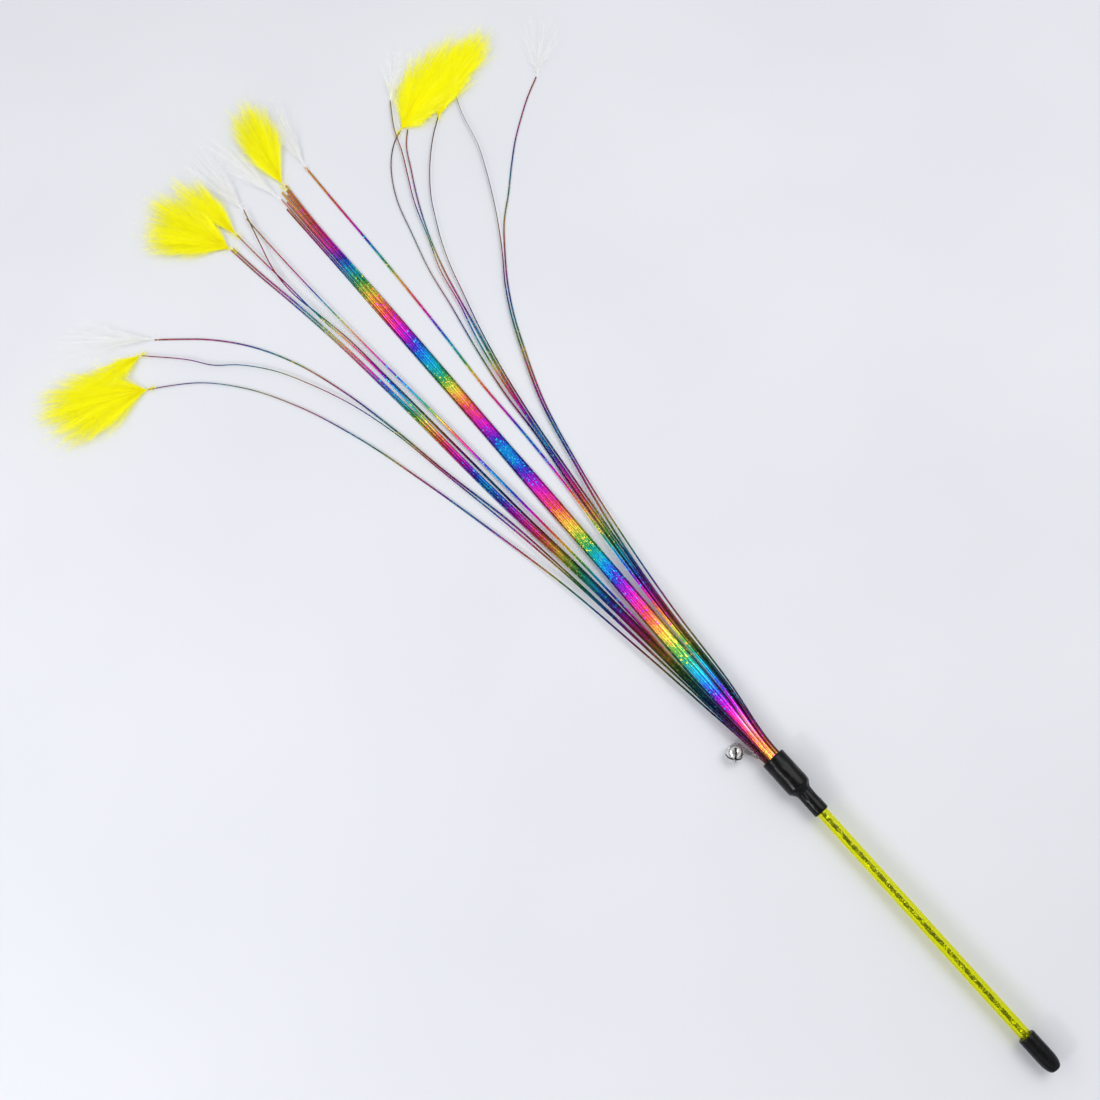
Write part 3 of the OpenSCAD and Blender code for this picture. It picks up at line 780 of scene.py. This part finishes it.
def plume(spray, number, colour, x, y, outline, barbs):
    """Down: barbs that leave a short quill and fan out to the outline."""
    rng = random.Random(f"{spray}{number}{colour}")
    down = Down()
    base = settled(x, y)
    first, last = outline[0][0], outline[-1][0]
    middle = sum(h * r for h, r in outline) / sum(r for h, r in outline)
    spine = reach_at(outline, middle)
    seed = rng.uniform(0, 50)
    puff = PUFF[colour]

    def at(heading, far, h):
        """The point far mm from the root on a heading, h mm up."""
        a = math.radians(heading)
        lift = 1.2 + puff * 0.35 * math.sin(math.pi * min(max(far / spine, 0), 1) * 0.8)
        return Vector((base.x + far * math.cos(a), base.y + far * math.sin(a),
            TABLE_Z + max(lift + h, 0.35)))

    quill = [at(middle, spine * (-0.07 + 0.64 * i / 12), 0) for i in range(13)]
    down.hair(quill, QUILL[colour], 0.08, 0.9, (0.0, 0.4), sides=6)
    for _ in range(barbs):
        # share is where the barb stands across the fan, from 0 to 1, denser in the middle
        halo = rng.random() < HALO_SHARE[colour]
        share = (rng.random() + rng.random() + rng.random()) / 3 * 1.5 - 0.25
        share = rng.random() if rng.random() < 0.55 else min(max(share, 0), 1)
        if halo:
            share = rng.uniform(-0.14, 1.14)
        heading = mix(first, last, share)
        clump = noise.noise(Vector((heading * 0.22 + seed, 0, seed)))
        reach = reach_at(outline, min(max(heading, first), last))
        reach *= 1 - 0.42 * rng.random() ** 1.6 + 0.1 * clump
        if halo:
            reach *= rng.uniform(0.85, 1.26)
        start = 0.42 * rng.random() ** 1.3 * reach
        lift = (1 - (2 * share - 1) ** 2) * rng.uniform(-0.3, 1.0) * puff + rng.uniform(-0.5, 0.7)
        root = at(mix(middle, heading, 0.15), start, 0)
        tip = at(heading, reach, lift * 0.6)
        elbow = at(mix(middle, heading, rng.uniform(0.75, 1.15)), mix(start, reach, 0.5), lift)
        side = (tip - root).cross(UP).normalized()
        sway = rng.uniform(-1.3, 1.3)
        line = []
        for i in range(BARB_STEPS + 1):
            t = i / BARB_STEPS
            p = root * (1 - t) ** 2 + elbow * 2 * t * (1 - t) + tip * t * t
            line.append(p + side * (sway * math.sin(math.pi * t * 1.6) * t))
            line[-1].z = max(line[-1].z, TABLE_Z + BARB_CLEAR)
        streak = noise.noise(Vector((heading * 0.7 + seed, start * 0.05, 3)))
        tone = 0.93 + 0.2 * streak + rng.uniform(-0.1, 0.06)
        if halo:
            tone = rng.uniform(0.94, 1.02)
        r = THICK[colour] * rng.uniform(0.7, 1.2) * (0.3 if halo else 1)
        places = (0.5, 1) if halo else (0.1 + 0.3 * start / spine, 0.72)
        down.hair(line, r, r * 0.2, tone, places)
        for _ in range(BARBULES):
            t = rng.uniform(0.15, 1.0)
            i = min(int(t * BARB_STEPS), BARB_STEPS - 1)
            p = line[i] + (line[i + 1] - line[i]) * (t * BARB_STEPS - i)
            go = (line[i + 1] - line[i]).normalized()
            out = go.cross(UP).normalized() * rng.choice((-1, 1)) + UP * rng.uniform(-0.4, 0.8)
            way = (go * rng.uniform(0.6, 1.2) + out * rng.uniform(0.2, 0.8)).normalized()
            end = p + way * rng.uniform(1.6, 5.0)
            end.z = max(end.z, TABLE_Z + BARBULE_CLEAR)
            down.hair([p, end], THIN[colour][halo], 0, tone, (0.8, 1.0) if halo else (0.5, 0.8))
    for _ in range(ROOT_FLUFF[colour]):
        start = rng.uniform(-0.1, 0.1) * spine
        a = math.radians(middle + rng.uniform(-120, 120))
        root = at(middle, start, 0)
        tip = root + Vector((math.cos(a), math.sin(a), 0)) * rng.uniform(2.0, 6.0)
        tip.z = max(tip.z + rng.uniform(-0.6, 1.6), TABLE_Z + BARB_CLEAR)
        down.hair([root, (root + tip) / 2 + UP * 0.3, tip], 0.07, 0.03,
            rng.uniform(0.85, 1.05), (0.3, 0.8))
    piece = new_piece(f"{spray}_feather_{number}", down.verts, down.faces,
        FEATHER[colour], smooth=False)
    point_values(piece, "place", down.place)
    point_values(piece, "tone", down.tone)
    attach(piece, f"{spray}_spray")
    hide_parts(f"{spray}_plume_{number}")


for spec in PLUMES:
    plume(*spec)


# ---------------------------------------------------------------- handle

# Bore of the cap and of the sleeve's neck, in which the tube sits.
TUBE_BORE_R = 3.25
# The pleats round the sleeve's shoulder: where along the wand, and how far they reach.
PLEAT_Y, PLEAT_HALF = 178.5, 3.2


def vinyl_dents(depth, creases):
    """Radius of soft moulded vinyl: slow lumps, and pleats where it narrows."""

    def radius(r, y, a):
        spot = Vector((math.cos(a) * 1.6, y / 6.0, math.sin(a) * 1.6))
        lumps = noise.noise(spot) * depth
        near = math.exp(-((y - PLEAT_Y) / PLEAT_HALF) ** 2)
        pleat = creases * near * max(0, math.sin(5 * a + y / 5)) ** 2
        return r + min(lumps, 0) - pleat

    return radius


def sleeve():
    """The reducing sleeve: neck, shoulder and wide body, with rolled lips."""
    start, neck, shoulder, body = 165.0, 13.5, 4.7, 19.8
    neck_r, body_r, body_bore_r, lip = 4.45, 7.0, 6.1, 0.7
    top = start + neck + shoulder
    end = top + body
    outer = [(neck_r - lip, start), (neck_r - 0.35, start + 0.07),
        (neck_r - lip / 4, start + lip / 3), (neck_r, start + lip)]
    outer += [(neck_r, start + mix(lip, neck, i / 14)) for i in range(1, 14)]
    outer += [(mix(neck_r, body_r, fade(i / 12)), start + neck + shoulder * i / 12)
        for i in range(13)]
    outer += [(body_r, mix(top, end - lip, i / 18)) for i in range(1, 19)]
    outer += [(body_r - lip / 4, end - lip / 3), (body_r - 0.35, end - 0.07),
        (body_r - lip, end)]
    inner = [(TUBE_BORE_R, start), (TUBE_BORE_R, start + neck), (body_bore_r, top),
        (body_bore_r, end)]
    piece = lathe("sleeve_skin", outer, inner, vinyl_dents(0.32, 0.5), VINYL)
    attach(piece, "handle")
    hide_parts("reducing_sleeve")


def cap():
    """The end cap: a flat tip, a tapered nose and a straight skirt with a rolled lip."""
    r, tip_r, long, nose, floor_at, lip = 4.7, 2.3, 20.0, 7.0, 3.0, 0.6
    outer = [(0.001, 0.0), (1.2, 0.0), (2.0, 0.0)]
    for a in range(90, -1, -6):
        turn = math.radians(a)
        outer.append((tip_r + 2.4 * math.cos(turn), nose * (1 - math.sin(turn))))
    outer += [(r, mix(nose, long - lip, i / 14)) for i in range(1, 15)]
    outer += [(r - lip / 4, long - lip / 3), (r - lip / 2, long - lip / 8), (r - lip, long)]
    inner = [(0.001, floor_at), (TUBE_BORE_R, floor_at), (TUBE_BORE_R, long)]
    piece = lathe("cap_skin", outer, inner, vinyl_dents(0.12, 0), VINYL)
    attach(piece, "handle")
    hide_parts("end_cap")


def foil():
    """A crumpled foil twist inside the tube, with its least, middle and greatest radius."""
    sides, rings = 22, 340
    start, end = 3.5, 182.5
    low, middle, high = 0.9, 1.12, 1.98
    verts = []
    for i in range(rings):
        y = mix(start, end, i / (rings - 1))
        for k in range(sides):
            a = 2 * math.pi * (k + 0.5 * (i % 2)) / sides
            spot = Vector((math.cos(a) * 0.9, y * 0.62, math.sin(a) * 0.9))
            r = middle + 0.36 * noise.noise(spot) + 0.24 * noise.noise(spot * 2.7)
            r = min(max(r, low), high)
            verts.append(Vector((r * math.cos(a), y, r * math.sin(a))))
    piece = new_piece("foil_twist", verts, ring_faces(rings, sides), FOIL, smooth=False)
    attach(piece, "handle")
    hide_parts("foil_liner")


sleeve()
cap()
foil()
# These CAD nodes show as they are.
for node, material in {"handle_tube": TUBE, "root_plug": GLUE, "bell_cap": BELL, "bell_cup": BELL,
        "bell_eye": BELL, "bell_pellet": PELLET}.items():
    mesh = bpy.data.objects[node].data
    mesh.materials.clear()
    mesh.materials.append(material)


# ---------------------------------------------------------------- floor and light

FLOOR_HALF, FLOOR_GAP = 9.0, 0.0001


def floor():
    """Plain pale paper, just under what lies on it."""
    n = Nodes("floor")
    soft = n.noise(n.object_place(), 6, 2)
    colour = n.ramp(soft, [(0.3, (0.705, 0.721, 0.768, 1)), (0.7, (0.735, 0.751, 0.798, 1))])
    shader = n.add("ShaderNodeBsdfPrincipled", {"Base Color": colour, "Roughness": 0.6,
        "Specular IOR Level": 0.2})
    mesh = bpy.data.meshes.new("floor")
    s = FLOOR_HALF
    z = TABLE_Z * MM - FLOOR_GAP
    mesh.from_pydata([(-s, -s, z), (s, -s, z), (s, s, z), (-s, s, z)], [], [(0, 1, 2, 3)])
    mesh.materials.append(n.finish(shader))
    plane = bpy.data.objects.new("floor", mesh)
    scene.collection.objects.link(plane)


def world():
    """Soft light from all round."""
    made = bpy.data.worlds.new("studio")
    made.use_nodes = True
    tree = made.node_tree
    tree.nodes.clear()
    place = tree.nodes.new("ShaderNodeTexCoord")
    parts = tree.nodes.new("ShaderNodeSeparateXYZ")
    ramp = tree.nodes.new("ShaderNodeValToRGB")
    back = tree.nodes.new("ShaderNodeBackground")
    out = tree.nodes.new("ShaderNodeOutputWorld")
    # height from straight down to overhead: dim at both ends, bright all round between
    stops = [(0.0, 0.35), (0.15, 0.35), (0.32, 1.0), (0.62, 1.0), (0.82, 0.38), (1.0, 0.33)]
    set_stops(ramp.color_ramp, [(height, grey(tone)) for height, tone in stops])
    back.inputs["Strength"].default_value = 0.85
    tree.links.new(place.outputs["Generated"], parts.inputs[0])
    tree.links.new(parts.outputs["Z"], ramp.inputs["Fac"])
    tree.links.new(ramp.outputs["Color"], back.inputs["Color"])
    tree.links.new(back.outputs[0], out.inputs["Surface"])
    scene.world = made


def softbox(name, offset, size, power):
    """A square lamp, offset from LOOK_AT to the picture's right, its top and up."""
    light = bpy.data.lights.new(name, "AREA")
    light.shape = "RECTANGLE"
    light.size, light.size_y = size
    light.energy = power
    obj = bpy.data.objects.new(name, light)
    scene.collection.objects.link(obj)
    right, up, high = offset
    place = LOOK_AT + IMAGE_RIGHT * right + IMAGE_UP * up + Vector((0, 0, high))
    aim(obj, place, LOOK_AT, IMAGE_UP)


floor()
world()
softbox("key", (0.55, 0.35, 1.25), (0.9, 0.9), 8.4)
softbox("left", (-0.9, -0.1, 0.75), (0.35, 1.2), 3.4)
softbox("low", (-0.55, -0.72, 0.55), (0.14, 0.14), 2.1)
